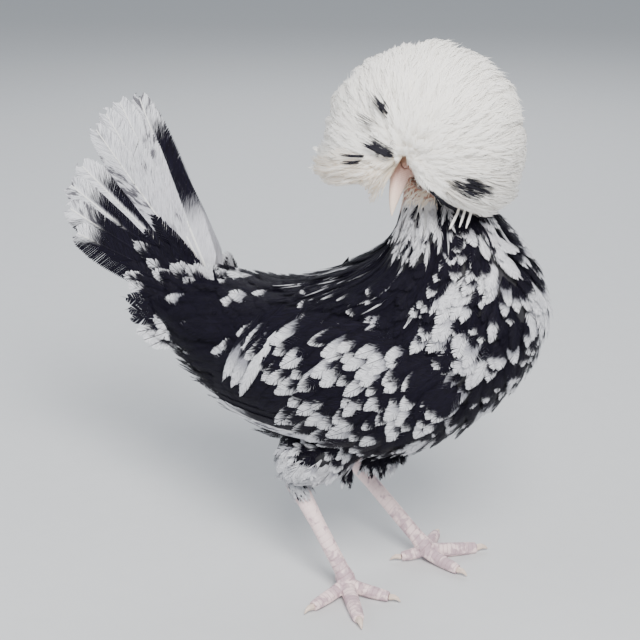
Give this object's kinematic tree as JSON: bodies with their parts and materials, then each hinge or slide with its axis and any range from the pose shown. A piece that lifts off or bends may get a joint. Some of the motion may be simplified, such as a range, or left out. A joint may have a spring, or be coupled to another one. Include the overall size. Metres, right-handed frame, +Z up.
{
  "type": "polish crested hen",
  "caption": "Life-size standing crested hen with her head turned back over one shoulder, a globe of feathers on her head, a tented tail and folded wings.",
  "frame": {"origin": "middle of the bounding box's base, on the floor that the bird stands on", "axes": "+X the way the breast faces, +Y the bird's left side, +Z up"},
  "size_m": [0.3822, 0.1718, 0.4181],
  "materials": {
    "mottled_plumage": "matt feathers, black with white tips",
    "black_plumage": "satin feathers, black with white tips and edges",
    "white_plumage": "soft matt feathers",
    "face_skin": "matt bare skin",
    "leg_skin": "satin scaled skin",
    "horn": "satin horn",
    "eye": "wet gloss"
  },
  "bodies": {
    "root": {"torso": "mottled_plumage", "neck": "mottled_plumage", "head": "face_skin", "beak_upper": "horn", "beak_lower": "horn", "eye_left": "eye", "eye_right": "eye", "crest": "white_plumage", "wing_left": "black_plumage", "wing_right": "black_plumage", "tail_left": "black_plumage", "tail_right": "black_plumage", "thigh_left": "mottled_plumage", "thigh_right": "mottled_plumage", "shank_left": "leg_skin", "shank_right": "leg_skin", "foot_left": "leg_skin", "foot_right": "leg_skin", "claw_left_inner": "horn", "claw_left_middle": "horn", "claw_left_outer": "horn", "claw_left_hind": "horn", "claw_right_inner": "horn", "claw_right_middle": "horn", "claw_right_outer": "horn", "claw_right_hind": "horn"}
  },
  "joints": []
}
